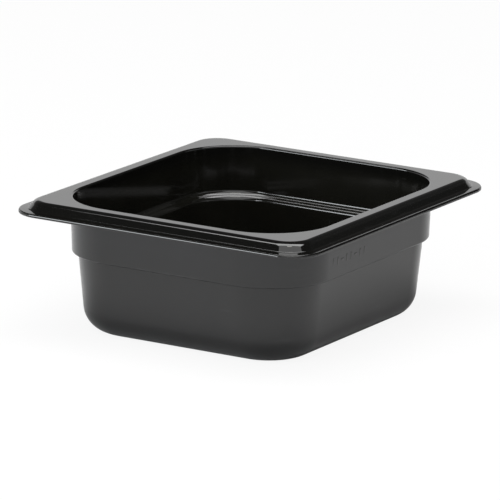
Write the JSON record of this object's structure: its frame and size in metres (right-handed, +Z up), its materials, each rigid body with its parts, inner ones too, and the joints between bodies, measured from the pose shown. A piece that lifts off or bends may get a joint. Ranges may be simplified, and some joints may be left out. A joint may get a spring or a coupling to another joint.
{
  "type": "deli food pan",
  "caption": "Shallow rectangular food pan with rounded corners, tapered walls, a stacking shoulder and an outward rim with a thin lip, moulded in black plastic.",
  "frame": {"origin": "under the middle of the base, at the height the pan stands on", "axes": "+Z up, out of the mouth; +Y along the long side; +X along the short side"},
  "size_m": [0.162, 0.176, 0.065],
  "materials": {
    "textured_wall": "black polycarbonate, fine moulded texture outside and polished inside",
    "polished_rim": "black polycarbonate, polished"
  },
  "bodies": {
    "root": {"floor_panel": "textured_wall", "base_round": "textured_wall", "lower_wall": "textured_wall", "stacking_shoulder": "textured_wall", "upper_wall": "textured_wall", "rim_land": "polished_rim", "rim_lip": "polished_rim"}
  },
  "joints": []
}
